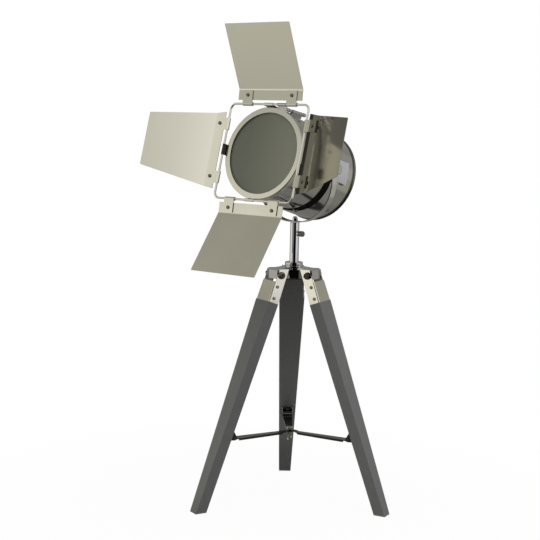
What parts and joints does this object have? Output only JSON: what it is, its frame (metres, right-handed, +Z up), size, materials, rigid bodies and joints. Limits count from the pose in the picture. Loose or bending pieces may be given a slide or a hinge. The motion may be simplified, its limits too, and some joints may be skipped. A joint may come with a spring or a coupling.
{
  "type": "tabletop tripod spotlight lamp",
  "caption": "Tabletop lamp shaped as a film spotlight: chrome drum with barn doors on a wire frame, tilting in a yoke on a tapered wooden tripod.",
  "frame": {"origin": "on the floor under the middle of the whole lamp's bounding box", "axes": "+Z up; the back leg points to +Y; the lens looks towards -Y, turned 39.4 degrees towards -X"},
  "size_m": [0.367, 0.379, 0.6885],
  "materials": {
    "leg_paint": "dark grey paint, low sheen",
    "polished_chrome": "polished",
    "satin_nickel": "satin, warm",
    "dark_steel": "blackened",
    "bare_steel": "plain",
    "lens_glass": "clear, smooth",
    "bulb_glass": "frosted",
    "gasket_rubber": "matte",
    "reflector_aluminium": "bright",
    "holder_plastic": "matte"
  },
  "bodies": {
    "stand": {"brace_bolt": "polished_chrome", "brace_hinge_pins": "bare_steel", "brace_hinge_screws": "bare_steel", "brace_hinges": "polished_chrome", "brace_strip_back": "polished_chrome", "brace_strip_left": "polished_chrome", "brace_strip_right": "polished_chrome", "hub_bolts": "dark_steel", "hub_casting": "polished_chrome", "hub_nuts": "dark_steel", "leg_back": "leg_paint", "leg_bracket_back": "polished_chrome", "leg_bracket_left": "polished_chrome", "leg_bracket_right": "polished_chrome", "leg_left": "leg_paint", "leg_right": "leg_paint", "stem_collar": "polished_chrome", "stem_tube": "polished_chrome", "bracket_screws": "bare_steel"},
    "riser": {"riser_rod": "bare_steel", "yoke_nut": "polished_chrome"},
    "yoke": {"yoke": "polished_chrome"},
    "height_screw": {"height_screw": "polished_chrome"},
    "brace_knob": {"brace_knob": "polished_chrome"},
    "tilt_knob_left": {"tilt_knob_left": "polished_chrome"},
    "tilt_knob_right": {"tilt_knob_right": "polished_chrome"},
    "latch_pin": {"latch_pin": "polished_chrome"},
    "door_top": {"door_top_leaf": "satin_nickel", "door_top_tabs": "satin_nickel", "door_top_screws": "dark_steel"},
    "door_left": {"door_left_leaf": "satin_nickel", "door_left_tabs": "satin_nickel", "door_left_screws": "dark_steel"},
    "door_bottom": {"door_bottom_leaf": "satin_nickel", "door_bottom_tabs": "satin_nickel", "door_bottom_screws": "dark_steel"},
    "door_right": {"door_right_leaf": "satin_nickel", "door_right_tabs": "satin_nickel", "door_right_screws": "dark_steel"},
    "head": {"bezel_ring": "satin_nickel", "bulb": "bulb_glass", "cable_gland": "holder_plastic", "drum_shell": "polished_chrome", "frame_clips": "dark_steel", "lampholder": "holder_plastic", "latch_bracket": "polished_chrome", "latch_plate": "satin_nickel", "lens": "lens_glass", "lens_gasket": "gasket_rubber", "pivot_bosses": "bare_steel", "pivot_washers": "bare_steel", "rear_cap": "polished_chrome", "reflector": "reflector_aluminium", "wire_frame": "satin_nickel"}
  },
  "joints": [
    {"name": "riser_slide", "type": "slide", "parent": "stand", "child": "riser", "axis": [0, 0, 1], "range_m": [0, 0.035]},
    {"name": "yoke_pan", "type": "hinge", "parent": "riser", "child": "yoke", "pos_m": [0.04063, 0.0294, 0.41073], "axis": [0, 0, 1], "continuous": true},
    {"name": "head_tilt", "type": "hinge", "parent": "yoke", "child": "head", "pos_m": [0.04063, 0.0294, 0.48983], "axis": [0.7727, -0.6347, 0], "range_deg": [-6, 31]},
    {"name": "height_screw_turn", "type": "hinge", "parent": "stand", "child": "height_screw", "pos_m": [0.04063, 0.0294, 0.39443], "axis": [0.7431, -0.6691, 0], "continuous": true},
    {"name": "brace_knob_turn", "type": "hinge", "parent": "stand", "child": "brace_knob", "pos_m": [0.04063, 0.0294, 0.1009], "axis": [0, 0, 1], "continuous": true},
    {"name": "tilt_knob_left_turn", "type": "hinge", "parent": "head", "child": "tilt_knob_left", "pos_m": [0.04063, 0.0294, 0.48983], "axis": [0.7727, -0.6347, 0], "continuous": true},
    {"name": "tilt_knob_right_turn", "type": "hinge", "parent": "head", "child": "tilt_knob_right", "pos_m": [0.04063, 0.0294, 0.48983], "axis": [0.7727, -0.6347, 0], "continuous": true},
    {"name": "latch_pull", "type": "slide", "parent": "head", "child": "latch_pin", "axis": [0.6528, 0.7343, -0.1862], "range_m": [0, 0.005]},
    {"name": "door_top_hinge", "type": "hinge", "parent": "head", "child": "door_top", "pos_m": [-0.00053, -0.02071, 0.57856], "axis": [0.7727, -0.6347, 0], "range_deg": [-53.8, 68.2]},
    {"name": "door_left_hinge", "type": "hinge", "parent": "head", "child": "door_left", "pos_m": [-0.06494, 0.00887, 0.51242], "axis": [0.167, 0.2033, 0.9648], "range_deg": [-50.8, 71.2]},
    {"name": "door_bottom_hinge", "type": "hinge", "parent": "head", "child": "door_bottom", "pos_m": [-0.02342, -0.04858, 0.44628], "axis": [-0.7727, 0.6347, 0], "range_deg": [-38.4, 83.6]},
    {"name": "door_right_hinge", "type": "hinge", "parent": "head", "child": "door_right", "pos_m": [0.041, -0.07816, 0.51242], "axis": [-0.167, -0.2033, -0.9648], "range_deg": [-47.6, 74.4]}
  ]
}
